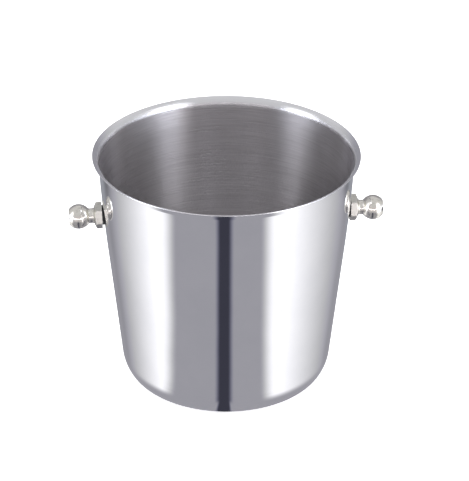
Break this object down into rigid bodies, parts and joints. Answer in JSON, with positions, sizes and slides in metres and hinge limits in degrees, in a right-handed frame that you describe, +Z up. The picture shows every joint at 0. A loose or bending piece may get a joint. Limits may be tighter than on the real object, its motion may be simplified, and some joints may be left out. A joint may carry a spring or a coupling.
{
  "type": "champagne bucket",
  "caption": "Tapered polished-steel champagne bucket with a flared mouth, a rounded base and ball knobs clamped through the wall with hex nuts, for chilling a bottle in ice.",
  "frame": {"origin": "centre of the base at the height of the ring it stands on", "axes": "+Z up, out of the mouth; +X through the two knobs; +Y from front to back"},
  "size_m": [0.2632, 0.222, 0.2045],
  "materials": {
    "polished_steel": "stainless steel sheet, mirror-polished outside and on the lip, spun satin inside",
    "nickel_plate": "turned steel with bright nickel plate, slightly warmer than the bucket",
    "black_rubber": "matt black rubber",
    "plain_steel": "plain stamped stainless steel"
  },
  "bodies": {
    "root": {"bucket_shell": "polished_steel", "left_knob": "nickel_plate", "left_hex_nut": "nickel_plate", "left_outer_gasket": "black_rubber", "left_inner_gasket": "black_rubber", "left_inner_washer": "plain_steel", "left_cap_nut": "nickel_plate", "right_knob": "nickel_plate", "right_hex_nut": "nickel_plate", "right_outer_gasket": "black_rubber", "right_inner_gasket": "black_rubber", "right_inner_washer": "plain_steel", "right_cap_nut": "nickel_plate"}
  },
  "joints": []
}
